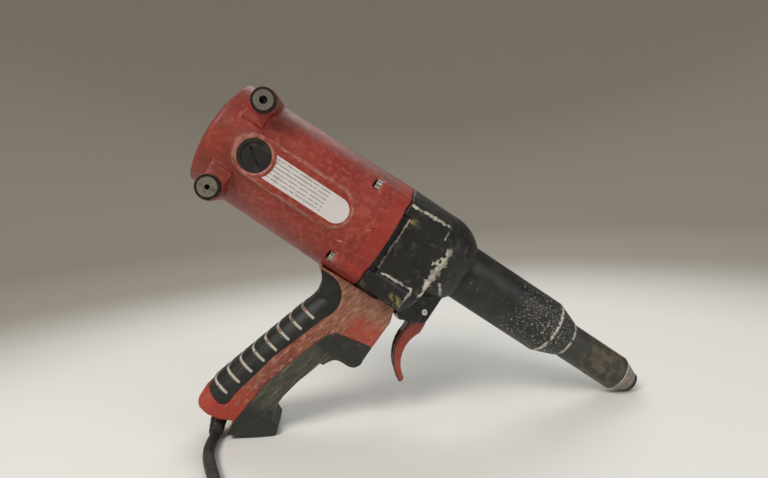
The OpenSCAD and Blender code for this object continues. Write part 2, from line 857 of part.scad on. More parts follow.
module trigger() {
    color([0.66, 0.13, 0.11]) place() difference() {
        union() {
            ycyl(4.6, trigger_x, trigger_z, -6.6, 6.6);
            side(concat([[trigger_x + 4.4, trigger_z], [56, -44]],
                        arc(76.5, -61.5, 23.4, 150, 238, 8), [[64.6, -83.4], [63.6, -84.9]],
                        arc(76, -58, 30.4, 243, 171, 8), [[45.4, -46], [trigger_x - 4.4, trigger_z]]),
                 -6.6, 6.6);
        }
        ycyl(2 + run, trigger_x, trigger_z, -10, 10);
        // channel behind the finger face
        side(concat([[70, -90]], arc(76, -58, 27.6, 238, 176, 8), [[40, -56], [40, -95]]), -4.4, 4.4);
        // pocket of the spring
        ycyl(4.7, trigger_x, trigger_z, -2.4, 2.4);
    }
}

module trigger_pin() {
    color([0.75, 0.74, 0.72]) place() ycyl(2, trigger_x, trigger_z, -10.8, 10.8);
}

module trigger_spring() {
    color([0.7, 0.7, 0.72]) place()
        for (i = [-1:1])
            translate([trigger_x, 1.4 * i, trigger_z]) rotate([90, 0, 0])
                rotate_extrude() translate([3.2, 0]) circle(r = 0.5, $fn = 16);
}

// ---- cord ----------------------------------------------------------------------

module cord_clamp() {
    color([0.15, 0.15, 0.16]) place() difference() {
        box(clamp_x - 4, clamp_x + 4, -9.8, 9.8, -124.2, -121.6);
        for (sy = [-1, 1])
            translate([clamp_x, sy * 7.6, -130]) cylinder(r = 1.15, h = 10);
    }
}

module clamp_screws() {
    color([0.7, 0.7, 0.7]) place()
        for (sy = [-1, 1]) {
            translate([clamp_x, sy * 7.6, -130.5]) cylinder(r = 1.1, h = 9.2);
            translate([clamp_x, sy * 7.6, -121.4]) cylinder(r = 2, h = 1.6);
        }
}

module strain_relief() {
    color([0.06, 0.06, 0.06]) sweep(relief_route, relief_r, 12);
}

module cord() {
    color([0.16, 0.16, 0.15]) {
        sweep(cord_route, [for (p = cord_route) cord_d / 2], 8);
        sweep(tail_route, [for (p = tail_route) cord_d / 2], 8);
    }
}

module cord_coil() {
    outer = coil_inner + (coil_turns - 0.5) * cord_d;
    color([0.16, 0.16, 0.15]) translate([coil_x, coil_y, 0]) rotate_extrude()
        translate([coil_inner - cord_d / 2, 0]) square([outer - coil_inner + cord_d / 2, coil_layers * cord_d]);
}

module coil_tie() {
    inner = coil_inner - cord_d / 2;
    outer = coil_inner + (coil_turns - 0.5) * cord_d;
    high = coil_layers * cord_d;
    color([0.05, 0.05, 0.05]) translate([coil_x, coil_y, 0]) rotate([0, 0, 20]) difference() {
        box(inner - 1.4, outer + 1.4, -4, 4, 0.1, high + 1.3);
        box(inner - 0.3, outer + 0.3, -5, 5, -1, high + 0.2);
    }
}

module plug() {
    color([0.08, 0.08, 0.08]) translate([-44, -189, 6.6]) rotate([0, 0, 20]) {
        rotate([0, 90, 0]) cylinder(h = 12, r1 = 4.4, r2 = 5.6);
        translate([11.9, -11, -6]) cube([22, 22, 12]);
        translate([33.8, -8.5, -5]) cube([6, 17, 10]);
        for (y = [-9.5, 9.5])
            translate([39.7, y * 0.6, 0]) rotate([0, 90, 0]) cylinder(h = 19, r = 2);
    }
}

motor_housing();
nameplate();
brush_cap(-1);  // brush_cap_right
brush_cap(1);  // brush_cap_left
brush_holders();
carbon_brushes();
brush_springs();
rear_tube_top();
rear_tube_bottom();
rear_collars();
stator_core();
field_coils();
armature_shaft();
armature_core();
commutator();
cooling_fan();
armature_bearing_rear();
armature_bearing_front();
bearing_plate();
gear_housing();
housing_screws();
countershaft();
countershaft_gear();
countershaft_bearing_rear();
countershaft_bearing_front();
drive_nut();
nut_gear();
nut_bearing();
thrust_bearing();
pulling_spindle();
spindle_key();
jaw_case();
jaw_1();
jaw_2();
jaw_3();
jaw_pusher();
pusher_spring();
front_sleeve();
nose_tube();
nose_cone();
nosepiece();
handle_right();
handle_left();
handle_screws();
rear_grip();
front_grip();
switch_body();
switch_plunger();
trigger();
trigger_pin();
trigger_spring();
cord_clamp();
clamp_screws();
strain_relief();
cord();
cord_coil();
coil_tie();
plug();
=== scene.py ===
"""Looks of the corded blind riveter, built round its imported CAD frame.

Sizes are in millimetres along the tool's own axes, as in the CAD source: x forward along the nose,
y left, z up, origin where the nose axis meets the front of the motor housing. to_row() takes them
to the row frame, in metres. The cord's route is in the row frame's own axes, in millimetres.
"""

import json
import math

import bmesh
import bpy
import numpy as np
from mathutils import Matrix, Vector


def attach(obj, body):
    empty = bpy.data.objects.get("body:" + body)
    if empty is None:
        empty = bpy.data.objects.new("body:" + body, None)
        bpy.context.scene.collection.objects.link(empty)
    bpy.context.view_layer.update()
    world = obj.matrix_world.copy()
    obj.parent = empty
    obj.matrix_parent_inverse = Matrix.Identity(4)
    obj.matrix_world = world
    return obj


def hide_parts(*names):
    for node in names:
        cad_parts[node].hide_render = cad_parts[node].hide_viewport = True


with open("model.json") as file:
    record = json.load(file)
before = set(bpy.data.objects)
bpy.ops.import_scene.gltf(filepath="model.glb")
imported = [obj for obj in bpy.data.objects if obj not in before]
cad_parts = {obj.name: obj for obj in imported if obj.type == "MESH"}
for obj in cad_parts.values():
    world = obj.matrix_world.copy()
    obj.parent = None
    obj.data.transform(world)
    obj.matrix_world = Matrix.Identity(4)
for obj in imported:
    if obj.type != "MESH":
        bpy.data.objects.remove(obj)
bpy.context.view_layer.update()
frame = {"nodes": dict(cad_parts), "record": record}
nodes = frame["nodes"]
bodies = frame["record"]["behaviour"]["bodies"]
body_of = {node: body for body, held in bodies.items() for node in held}

MM = 0.001
TILT = math.radians(37.5)
SHIFT, LIFT = -16.8, 130.4
COS, SIN = math.cos(TILT), math.sin(TILT)

MOTOR_Z = -10
CAP_X = -92.9
PAD_X = -39.5
PAD_R = 12.7


def to_row(x, y, z):
    """A point of the tool's frame, in mm, as a point of the row frame, in metres."""
    return Vector((SHIFT + x * COS + z * SIN, y, LIFT - x * SIN + z * COS)) * MM


def link(name, mesh):
    obj = bpy.data.objects.new(name, mesh)
    bpy.context.scene.collection.objects.link(obj)
    return obj


# ---- camera -------------------------------------------------------------------

camera = bpy.data.objects.new("camera", bpy.data.cameras.new("camera"))
bpy.context.scene.collection.objects.link(camera)
bpy.context.scene.camera = camera
right = Vector((0.99416, -0.08263, -0.06934))
back = Vector((-0.07556, -0.99221, 0.09908))
upward = back.cross(right)
camera.matrix_world = Matrix.Translation((-0.0497, -0.3678, 0.1577)) @ Matrix(
    (right, upward, back)
).transposed().to_4x4()
camera.data.sensor_width = 36
camera.data.lens = 26.02
camera.data.clip_start = 0.01

# ---- cord -----------------------------------------------------------------------

CORD_R = 3.5
CORD_ROUTE = [
    (-140.6, -13.05, 4.88), (-140.7, -15.2, 3.9), (-140.9, -19, 3.5), (-140.9, -25, 3.5),
    (-140.4, -33, 3.5), (-139, -41, 3.5), (-136.6, -50, 3.5), (-133.6, -59, 3.5),
    (-130.4, -68, 3.5), (-127.8, -77, 3.5), (-126.9, -86, 3.5), (-128.2, -96, 3.5),
    (-132, -107, 3.5), (-137.4, -118, 3.5), (-142, -129, 3.5), (-145.2, -141, 3.5),
]
TAIL_ROUTE = [(-82, -198.9, 10.5), (-68, -196.8, 9.4), (-55, -193.2, 7.4), (-44, -189, 6.6)]
RELIEF_ROUTE = [
    (-127.7, 0, 25.8), (-131, 0, 22.2), (-134.3, -0.5, 18.9), (-137.2, -2, 15.6),
    (-139.2, -4.4, 11.8), (-140.2, -7.6, 8.2), (-140.5, -10.4, 6.1), (-140.6, -13, 4.9),
]
RELIEF_R = [6, 6, 6, 5.8, 5.5, 5.1, 4.8, 4.6]
COIL = Vector((-97, -150.5))
COIL_OUTER, COIL_INNER = 49, 28
CLIMB = 0.25
COIL_TURNS = 6.25
STEPS_PER_TURN = 40


def coil_point(turn):
    """Centreline of the coil: in along the floor, up at its middle, and out again on top."""
    turns_in = (COIL_OUTER - COIL_INNER) / (2 * CORD_R)
    rise = min(max((turn - turns_in) / CLIMB, 0), 1)
    if turn < turns_in:
        radius = COIL_OUTER - 2 * CORD_R * turn
    elif rise < 1:
        radius = COIL_INNER - 0.6 * math.sin(math.pi * rise)
    else:
        radius = COIL_INNER + 2 * CORD_R * (turn - turns_in - CLIMB)
    angle = math.pi + 2 * math.pi * turn
    height = CORD_R * (1 + 2 * rise)
    return (COIL.x + radius * math.cos(angle), COIL.y + radius * math.sin(angle), height)


def smooth_line(points, steps):
    """A smooth line through points, with extra points between them."""
    pts = [Vector(p) for p in points]
    pts = [2 * pts[0] - pts[1], *pts, 2 * pts[-1] - pts[-2]]
    out = []
    for a, b, c, d in zip(pts, pts[1:], pts[2:], pts[3:]):
        for i in range(steps):
            t = i / steps
            bent = (2 * a - 5 * b + 4 * c - d) * t**2 + (3 * b - a - 3 * c + d) * t**3
            out.append(0.5 * (2 * b + (c - a) * t + bent))
    return [*out, pts[-2]]


def line_length(points):
    return sum((Vector(b) - Vector(a)).length for a, b in zip(points, points[1:]))


def cord_curve():
    turns = [coil_point(i / STEPS_PER_TURN) for i in range(int(COIL_TURNS * STEPS_PER_TURN) + 1)]
    line = smooth_line(CORD_ROUTE, 4) + [Vector(p) for p in turns]
    line += smooth_line([turns[-1], *TAIL_ROUTE], 5)[1:]
    data = bpy.data.curves.new("mains_cord", "CURVE")
    data.dimensions = "3D"
    # a curve's box grows by the radius at its points, so that is the cord's own
    data.bevel_depth = 1
    data.bevel_resolution = 5
    spline = data.splines.new("POLY")
    spline.points.add(len(line) - 1)
    for point, at in zip(spline.points, line):
        point.co = (*(at * MM), 1)
        point.radius = CORD_R * MM
    spline.use_smooth = True
    return link("mains_cord", data), line_length(line) * MM


mains_cord, cord_length = cord_curve()
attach(mains_cord, "tool_body")
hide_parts("cord", "cord_coil")

# ---- materials --------------------------------------------------------------------


def colour(r, g, b):
    """A colour given as on a screen, 0 to 255, in the linear values that shaders take."""
    return (*[(v / 255 / 12.92 if v < 10.3 else ((v / 255 + 0.055) / 1.055) ** 2.4) for v in (r, g, b)], 1)


class Paint:
    """A procedural material. Its coordinates are the tool's own, in mm."""

    def __init__(self, name):
        self.material = bpy.data.materials.new(name)
        self.material.use_nodes = True
        self.tree = self.material.node_tree
        self.bsdf = self.tree.nodes["Principled BSDF"]
        mapping = self.node("ShaderNodeMapping")
        self.tree.links.new(self.node("ShaderNodeTexCoord").outputs["Object"], mapping.inputs["Vector"])
        mapping.inputs["Scale"].default_value = (1 / MM,) * 3
        mapping.inputs["Rotation"].default_value = (0, -TILT, 0)
        mapping.inputs["Location"].default_value = (LIFT * SIN - SHIFT * COS, 0, -LIFT * COS - SHIFT * SIN)
        self.where = mapping.outputs[0]
        split = self.node("ShaderNodeSeparateXYZ")
        self.tree.links.new(self.where, split.inputs[0])
        self.x, self.y, self.z = split.outputs

    def node(self, kind, **settings):
        made = self.tree.nodes.new(kind)
        for key, value in settings.items():
            setattr(made, key, value)
        return made

    def feed(self, socket, value):
        if isinstance(value, bpy.types.NodeSocket):
            self.tree.links.new(value, socket)
        else:
            socket.default_value = value

    def math(self, operation, a, b=0.0, clamp=False):
        made = self.node("ShaderNodeMath", operation=operation, use_clamp=clamp)
        self.feed(made.inputs[0], a)
        self.feed(made.inputs[1], b)
        return made.outputs[0]

    def times(self, a, b):
        return self.math("MULTIPLY", a, b, True)

    def most(self, a, b):
        return self.math("MAXIMUM", a, b)

    def noise(self, size, detail=3, stretch=(1, 1, 1), turn=0, at=(0, 0, 0), rough=0.55):
        """Noise whose features are about size mm, stretched along the axes once turned about Y."""
        where = self.where
        if turn:
            turned = self.node("ShaderNodeMapping")
            turned.inputs["Rotation"].default_value = (0, math.radians(turn), 0)
            self.feed(turned.inputs["Vector"], where)
            where = turned.outputs[0]
        scaled = self.node("ShaderNodeMapping")
        scaled.inputs["Scale"].default_value = [1 / (size * s) for s in stretch]
        scaled.inputs["Location"].default_value = at
        self.feed(scaled.inputs["Vector"], where)
        made = self.node("ShaderNodeTexNoise")
        made.inputs["Scale"].default_value = 1
        made.inputs["Detail"].default_value = detail
        made.inputs["Roughness"].default_value = rough
        self.feed(made.inputs["Vector"], scaled.outputs[0])
        return made.outputs[0]

    def band(self, value, low, high):
        """0 below low, 1 above high, and smooth between. With low above high it runs the other way."""
        if low > high:
            return self.math("SUBTRACT", 1.0, self.band(value, high, low))
        made = self.node("ShaderNodeMapRange", interpolation_type="SMOOTHSTEP")
        self.feed(made.inputs["Value"], value)
        made.inputs["From Min"].default_value = low
        made.inputs["From Max"].default_value = high
        return made.outputs[0]

    def between(self, value, low, high, soft):
        above = self.band(value, low - soft, low + soft)
        return self.times(above, self.band(value, high + soft, high - soft))

    def attribute(self, name):
        return self.node("ShaderNodeAttribute", attribute_type="GEOMETRY", attribute_name=name).outputs["Fac"]

    def edges(self, low, high):
        """Convex edges of a dense mesh; with low above high, its hollows and creases instead."""
        return self.band(self.node("ShaderNodeNewGeometry").outputs["Pointiness"], low, high)

    def mix(self, share, a, b):
        made = self.node("ShaderNodeMix", data_type="RGBA")
        self.feed(made.inputs[0], share)
        self.feed(made.inputs[6], a)
        self.feed(made.inputs[7], b)
        return made.outputs[2]

    def level(self, share, a, b):
        """A plain number between a and b."""
        return self.math("ADD", self.math("MULTIPLY", share, b - a), a)

    def bump(self, height, depth):
        made = self.node("ShaderNodeBump")
        made.inputs["Distance"].default_value = depth * MM
        made.inputs["Strength"].default_value = 1
        self.feed(made.inputs["Height"], height)
        self.tree.links.new(made.outputs[0], self.bsdf.inputs["Normal"])

    def finish(self, base, roughness, metallic=0.0, coat=0.0, specular=0.5):
        self.feed(self.bsdf.inputs["Base Color"], base)
        self.feed(self.bsdf.inputs["Roughness"], roughness)
        self.feed(self.bsdf.inputs["Metallic"], metallic)
        self.bsdf.inputs["Coat Weight"].default_value = coat
        self.bsdf.inputs["Specular IOR Level"].default_value = specular
        return self.material


def red_moulding():
    p = Paint("red_moulding")
    base = p.mix(p.band(p.noise(34), 0.35, 0.65), colour(138, 38, 26), colour(154, 52, 38))
    base = p.mix(p.band(p.noise(3.2, 5), 0.42, 0.72), base, colour(168, 76, 60))
    dull = p.times(p.band(p.x, -60, -112), p.band(p.noise(18, 4, at=(3, 0, 0)), 0.3, 0.62))
    base = p.mix(p.times(dull, 0.55), base, colour(112, 52, 38))
    top = p.band(p.math("ADD", p.z, p.math("MULTIPLY", p.noise(11, 4), 16)), 22, 34)
    base = p.mix(p.times(top, p.level(p.band(p.noise(4.5, 5), 0.35, 0.65), 0.25, 0.8)), base, colour(92, 68, 50))
    fresh = p.band(p.math("ADD", p.x, p.math("MULTIPLY", p.noise(9, 2), 5)), -9.5, -7)
    base = p.mix(p.times(fresh, 0.75), base, colour(158, 46, 34))
    low = p.times(p.band(p.z, -30, -44), p.band(p.noise(7, 4, at=(0, 0, 5)), 0.4, 0.6))
    base = p.mix(p.times(low, 0.5), base, colour(104, 40, 30))
    streaks = p.band(p.noise(2.6, 6, (5, 1, 0.45), turn=20, rough=0.7), 0.6, 0.68)
    place = p.times(p.between(p.x, -34, -4, 6), p.between(p.z, -34, -6, 7))
    place = p.most(place, p.times(p.between(p.x, -84, -30, 8), p.between(p.z, -38, -20, 5)))
    scuff = p.times(streaks, p.level(place, 0.12, 0.9))
    rim = p.times(p.attribute("rim"), p.band(p.noise(3.5, 4), 0.3, 0.62))
    worn = p.most(p.times(rim, 0.85), p.times(p.edges(0.53, 0.6), p.band(p.noise(4, 3), 0.35, 0.6)))
    base = p.mix(p.most(scuff, p.times(worn, 0.8)), base, colour(205, 158, 140))
    # painted shade: hollows and creases of the moulding (low pointiness) are darkened
    base = p.mix(p.times(p.edges(0.47, 0.42), 0.7), base, colour(54, 22, 18))
    p.bump(p.noise(0.7, 3), 0.06)
    return p.finish(base, p.level(p.noise(6, 4), 0.36, 0.62))


def red_handle():
    p = Paint("red_handle")
    base = p.mix(p.band(p.noise(16, 4), 0.38, 0.62), colour(150, 90, 70), colour(134, 64, 50))
    base = p.mix(p.times(p.band(p.z, -90, -60), 0.5), base, colour(168, 122, 98))
    rough = p.noise(2.8, 8, (0.7, 1, 2.2), turn=-16, rough=0.72)
    base = p.mix(p.times(p.band(rough, 0.5, 0.62), 0.7), base, colour(190, 148, 126))
    base = p.mix(p.times(p.band(rough, 0.47, 0.38), 0.75), base, colour(92, 58, 44))
    bright = p.times(p.band(p.z, -132, -146), 0.95)
    front = p.times(p.between(p.x, 12, 34, 3), p.between(p.z, -80, -60, 5))
    fresh = p.times(p.most(bright, p.times(front, 0.7)), p.band(p.noise(5, 4), 0.3, 0.5))
    base = p.mix(fresh, base, colour(172, 60, 42))
    base = p.mix(p.times(p.edges(0.54, 0.62), 0.6), base, colour(206, 168, 146))
    # painted shade: hollows and creases of the handle (low pointiness) are darkened
    base = p.mix(p.times(p.edges(0.46, 0.41), 0.6), base, colour(60, 30, 24))
    p.bump(p.noise(0.9, 5, rough=0.7), 0.12)
    return p.finish(base, p.level(p.noise(5), 0.45, 0.72))


def chipped_black():
    p = Paint("chipped_black")
    base = p.mix(p.band(p.noise(14, 4), 0.4, 0.65), colour(15, 17, 18), colour(27, 27, 24))
    base = p.mix(p.times(p.band(p.noise(5, 6, at=(9, 0, 0)), 0.56, 0.66), 0.6), base, colour(74, 70, 56))
    fine = p.band(p.noise(1.5, 7, (0.5, 1, 4), turn=12, rough=0.75), 0.62, 0.68)
    base = p.mix(p.times(fine, 0.75), base, colour(132, 130, 120))
    torn = p.math("MULTIPLY", p.noise(2.8, 7, rough=0.75), 1.9)
    reach = p.math("ADD", p.math("MULTIPLY", p.attribute("chips"), 0.7), torn)
    chip = p.band(reach, 1.36, 1.42)
    worn = p.times(p.edges(0.55, 0.62), p.band(p.noise(2.4, 5), 0.52, 0.6))
    chip = p.most(chip, p.times(worn, 0.9))
    bare = p.mix(p.band(p.noise(3, 3), 0.4, 0.6), colour(206, 200, 182), colour(160, 156, 146))
    base = p.mix(chip, base, bare)
    olive = p.times(p.attribute("olive"), p.band(p.noise(2, 4), 0.4, 0.55))
    base = p.mix(olive, base, colour(150, 140, 84))
    p.bump(p.math("SUBTRACT", p.times(p.noise(0.9, 4), 0.35), p.times(chip, 0.8)), 0.12)
    return p.finish(base, p.level(p.most(chip, p.noise(4, 3)), 0.3, 0.55))


def sleeve_paint():
    p = Paint("sleeve_paint")
    base = p.mix(p.band(p.noise(12, 5), 0.4, 0.62), colour(24, 26, 26), colour(42, 41, 36))
    tube = p.band(p.x, 140, 150)
    base = p.mix(p.times(tube, 0.6), base, colour(62, 61, 56))
    grime = p.times(p.between(p.x, 160, 189, 8), p.band(p.noise(6, 5), 0.42, 0.6))
    base = p.mix(p.times(grime, 0.8), base, colour(98, 86, 64))
    density = p.level(p.between(p.x, 92, 150, 14), 0, 0.11)
    specks = p.math("ADD", p.noise(1.3, 6, rough=0.72), density)
    base = p.mix(p.band(specks, 0.69, 0.72), base, colour(190, 186, 174))
    arcs = p.noise(2.2, 5, (0.35, 3.5, 3.5), rough=0.7)
    arcs = p.times(p.band(arcs, 0.64, 0.68), p.band(p.noise(11, 2, at=(5, 5, 0)), 0.45, 0.6))
    base = p.mix(p.times(arcs, 0.85), base, colour(168, 164, 152))
    ring = p.most(p.between(p.x, 128.2, 130.4, 0.7), p.between(p.x, 144, 146.2, 0.6))
    ring = p.times(ring, p.band(p.noise(2.4, 5), 0.4, 0.52))
    base = p.mix(ring, base, colour(206, 202, 190))
    seam = p.times(p.between(p.x, 57, 60.4, 0.5), 0.7)
    base = p.mix(seam, base, colour(16, 17, 17))
    p.bump(p.math("SUBTRACT", p.times(p.noise(0.8, 4), 0.5), p.times(p.band(specks, 0.69, 0.72), 0.5)), 0.1)
    return p.finish(base, p.level(p.noise(5, 4), 0.34, 0.6))


def rubbed_nose():
    p = Paint("rubbed_nose")
    base = p.mix(p.band(p.noise(3.5, 5), 0.35, 0.65), colour(120, 106, 98), colour(150, 142, 132))
    bright = p.times(p.between(p.x, 190.8, 192.4, 0.4), p.band(p.noise(2, 4), 0.35, 0.5))
    base = p.mix(bright, base, colour(222, 218, 206))
    base = p.mix(p.times(p.band(p.x, 200.5, 203), 0.8), base, colour(48, 46, 43))
    p.bump(p.noise(0.8, 4), 0.08)
    return p.finish(base, p.level(p.noise(3), 0.34, 0.6), metallic=0.35)


def rubber_grip():
    p = Paint("rubber_grip")
    base = p.mix(p.band(p.noise(9, 4), 0.4, 0.65), colour(24, 26, 25), colour(40, 41, 37))
    base = p.mix(p.times(p.band(p.noise(2, 6, rough=0.7), 0.62, 0.7), 0.5), base, colour(92, 90, 80))
    dust = p.times(p.attribute("groove"), p.band(p.noise(2.2, 4), 0.2, 0.45))
    base = p.mix(dust, base, colour(206, 198, 182))
    p.bump(p.noise(0.6, 3), 0.05)
    return p.finish(base, p.level(p.most(p.noise(5), dust), 0.38, 0.62))


def front_pad():
    p = Paint("front_pad")
    streak = p.noise(2.4, 7, (0.5, 1, 5), turn=-14, rough=0.7)
    base = p.mix(p.band(streak, 0.4, 0.62), colour(58, 58, 50), colour(92, 88, 74))
    base = p.mix(p.times(p.band(streak, 0.6, 0.68), 0.85), base, colour(150, 152, 134))
    dark = p.most(p.band(p.z, -98, -88), p.band(p.z, -138, -150))
    base = p.mix(p.times(dark, 0.8), base, colour(30, 33, 31))
    flecks = p.times(p.band(p.noise(1.6, 6, rough=0.75), 0.64, 0.68), p.band(p.z, -150, -138))
    base = p.mix(flecks, base, colour(196, 192, 176))
    worn = p.times(p.edges(0.55, 0.64), p.times(p.band(p.noise(3, 4), 0.4, 0.6), 0.6))
    base = p.mix(worn, base, colour(150, 146, 130))
    p.bump(p.math("ADD", p.noise(0.8, 5), p.times(streak, 0.6)), 0.1)
    return p.finish(base, p.level(streak, 0.4, 0.7))


def trigger_red():
    p = Paint("trigger_red")
    base = p.mix(p.band(p.noise(6, 3), 0.35, 0.65), colour(142, 44, 36), colour(156, 62, 50))
    base = p.mix(p.band(p.noise(2, 6, (1, 1, 3), rough=0.7), 0.62, 0.7), base, colour(190, 130, 112))
    # painted shade: the lever's rear side, more than 30 mm from (76, -58) and below z -50, is darkened to stand for
    # its shadowed side
    across = p.math("SUBTRACT", p.x, 76)
    up = p.math("SUBTRACT", p.z, -58)
    out = p.math("SQRT", p.math("ADD", p.math("MULTIPLY", across, across), p.math("MULTIPLY", up, up)))
    base = p.mix(p.times(p.band(out, 28.6, 30), p.band(p.z, -42, -50)), base, colour(58, 26, 22))
    p.bump(p.noise(1.2, 3), 0.04)
    return p.finish(base, p.level(p.noise(4), 0.22, 0.42), coat=0.3)


def cord_rubber():
    p = Paint("cord_rubber")
    base = p.mix(p.band(p.noise(7, 4), 0.38, 0.64), colour(34, 34, 33), colour(62, 60, 54))
    base = p.mix(p.times(p.band(p.noise(1.8, 6, rough=0.7), 0.6, 0.68), 0.6), base, colour(112, 108, 96))
    p.bump(p.noise(0.7, 3), 0.06)
    return p.finish(base, p.level(p.noise(5), 0.5, 0.75))


def label_film():
    p = Paint("label_film")
    base = p.mix(p.band(p.noise(7, 4), 0.52, 0.75), colour(222, 216, 214), colour(190, 180, 172))
    row = p.math("FRACT", p.math("MULTIPLY", p.math("SUBTRACT", p.z, MOTOR_Z), 0.42))
    rules = p.times(p.band(row, 0.34, 0.42), p.band(row, 0.66, 0.58))
    dashes = p.band(p.noise(1.7, 2, (1, 1, 3)), 0.4, 0.46)
    field = p.times(p.between(p.x, -88, -44, 0.6), p.between(p.z, MOTOR_Z - 6.6, MOTOR_Z + 6.6, 0.3))
    base = p.mix(p.times(p.times(rules, dashes), p.times(field, 0.8)), base, colour(96, 92, 90))
    p.bump(p.noise(3, 2), 0.02)
    return p.finish(base, p.level(p.noise(9), 0.25, 0.4), coat=0.2)


def plastic(name, dark, dusty, share=0.6):
    p = Paint(name)
    base = p.mix(p.times(p.band(p.noise(5, 5), 0.45, 0.7), share), dark, dusty)
    p.bump(p.noise(0.8, 3), 0.04)
    return p.finish(base, p.level(p.noise(6), 0.4, 0.62))


def metal(name, clean, stained, smooth, dull, grain=(1, 1, 1), size=5):
    p = Paint(name)
    stain = p.band(p.noise(size, 5), 0.42, 0.68)
    base = p.mix(stain, clean, stained)
    p.bump(p.noise(0.9, 4, grain), 0.05)
    return p.finish(base, p.level(stain, smooth, dull), metallic=1.0)


MATERIALS = {
    "red_moulding": red_moulding(),
    "red_handle": red_handle(),
    "label_white": label_film(),
    "black_plastic": plastic("black_plastic", colour(22, 22, 22), colour(66, 62, 54)),
    "black_paint": chipped_black(),
    "sleeve_paint": sleeve_paint(),
    "bare_steel": metal("bare_steel", colour(190, 186, 178), colour(120, 112, 100), 0.26, 0.5, size=3),
    "dark_steel": metal("dark_steel", colour(74, 70, 66), colour(40, 37, 34), 0.35, 0.6, size=3),
    "nose_metal": rubbed_nose(),
    "cast_alloy": metal("cast_alloy", colour(168, 170, 172), colour(130, 132, 134), 0.4, 0.6),
    "brass": metal("brass", colour(200, 165, 92), colour(150, 116, 62), 0.28, 0.5),
    "bronze": metal("bronze", colour(186, 146, 88), colour(132, 98, 60), 0.28, 0.5),
    "copper": metal("copper", colour(184, 106, 66), colour(128, 66, 40), 0.3, 0.5),
    "carbon": plastic("carbon", colour(26, 26, 28), colour(44, 44, 46)),
    "gear_steel": metal("gear_steel", colour(160, 162, 164), colour(108, 104, 98), 0.25, 0.45),
    "rubber_grip": rubber_grip(),
    "front_pad": front_pad(),
    "trigger_red": trigger_red(),
    "zinc": metal("zinc", colour(214, 210, 196), colour(150, 138, 116), 0.2, 0.42, size=2.5),
    "cord_rubber": cord_rubber(),
}


def wear(obj, slot_name):
    """Gives a piece the material of one of the record's slots."""
    obj.data.materials.clear()
    obj.data.materials.append(MATERIALS[slot_name])


for part in frame["record"]["subparts"]:
    shown = nodes[part["node"]]
    for held in shown.material_slots:
        held.material = MATERIALS[part["material_slot"]]

mains_cord.data.materials.append(MATERIALS["cord_rubber"])

# ---- mesh tools -------------------------------------------------------------------


def tool_points(mesh):
    """The mesh's vertices in the tool's frame, in mm, one row each."""
    flat = np.empty(len(mesh.vertices) * 3)
    mesh.vertices.foreach_get("co", flat)
    row = flat.reshape(-1, 3) / MM - (SHIFT, 0, LIFT)
    return np.stack([row[:, 0] * COS - row[:, 2] * SIN, row[:, 1], row[:, 0] * SIN + row[:, 2] * COS], 1)


def moulded(name, node, voxel, rounds, slot_name, add=None):
    """The CAD node as a dense mesh with soft edges, which it then stands for."""
    mesh = nodes[node].data.copy()
    tidy = bmesh.new()
    tidy.from_mesh(mesh)
    bmesh.ops.remove_doubles(tidy, verts=tidy.verts, dist=1e-6)
    if add:
        add(tidy)
    tidy.to_mesh(mesh)
    tidy.free()
    obj = link(name, mesh)
    remesh = obj.modifiers.new("remesh", "REMESH")
    remesh.mode = "VOXEL"
    remesh.voxel_size = voxel * MM
    soften = obj.modifiers.new("soften", "SMOOTH")
    soften.factor = 0.5
    soften.iterations = rounds
    made = bpy.data.meshes.new_from_object(obj.evaluated_get(bpy.context.evaluated_depsgraph_get()))
    obj.modifiers.clear()
    obj.data = made
    made.name = name
    made.shade_smooth()
    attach(obj, body_of[node])
    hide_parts(node)
    wear(obj, slot_name)
    return obj


def mark(obj, name, values):
    """Keeps one number for each vertex, which a material reads by name."""
    obj.data.attributes.new(name, "FLOAT", "POINT").data.foreach_set("value", np.clip(values, 0, 1))


def segment_distance(points, x0, z0, x1, z1):
    """Distance in the side view from each point to a straight line's stretch."""
    line = np.array((x1 - x0, z1 - z0), float)
    rel = points[:, [0, 2]] - (x0, z0)
    share = np.clip(rel @ line / max(line @ line, 1e-9), 0, 1)
    return np.linalg.norm(rel - share[:, None] * line, axis=1)


def strokes(points, lines):
    """Marks of a brush along lines (x0, z0, x1, z1, half width), strongest at the middle."""
    out = np.zeros(len(points))
    for x0, z0, x1, z1, half in lines:
        out = np.maximum(out, 1 - segment_distance(points, x0, z0, x1, z1) / half)
    return out


# ---- motor housing ------------------------------------------------------------------

housing = moulded("motor_shell", "motor_housing", 0.9, 5, "red_moulding")
at = tool_points(housing.data)
rim = np.clip(1 - np.abs(segment_distance(at, CAP_X, MOTOR_Z, PAD_X, MOTOR_Z) - PAD_R) / 1.4, 0, 1)
cap_ring = np.clip(1 - np.abs(segment_distance(at, CAP_X, MOTOR_Z, CAP_X, MOTOR_Z) - 10.8) / 1.2, 0, 1)
mark(housing, "rim", np.maximum(rim, cap_ring) * (np.abs(at[:, 1]) > 34))

# ---- gear case ------------------------------------------------------------------------

case = moulded("gear_case", "gear_housing", 0.7, 4, "black_paint")
at = tool_points(case.data)
outside = np.abs(at[:, 1]) > 9
chips = strokes(at, [
    (1, 17.2, 27, 19, 2.2), (37.2, 6, 37.6, -26, 5), (36.2, -4, 37.2, -16, 7.5), (5, 9, 5, -26, 1.3),
    (8, -27.5, 29, -26.5, 1.6), (29.5, -40, 30, -28, 2), (34, -48, 40, -50, 2.4), (44, -14, 50, -20, 2.2),
    (29.8, 11, 29.8, 19, 1.6), (18, -42, 31, -42, 1.8), (56, -22, 57, -34, 1.6),
])
mark(case, "chips", chips * outside)
mark(case, "olive", strokes(at, [(5.5, 8.5, 8.5, 9.5, 2.2), (22, -36, 28, -38, 3)]) * outside)

# ---- handle ---------------------------------------------------------------------------

for side in ("right", "left"):
    moulded(f"handle_shell_{side}", f"handle_{side}", 0.6, 3, "red_handle")

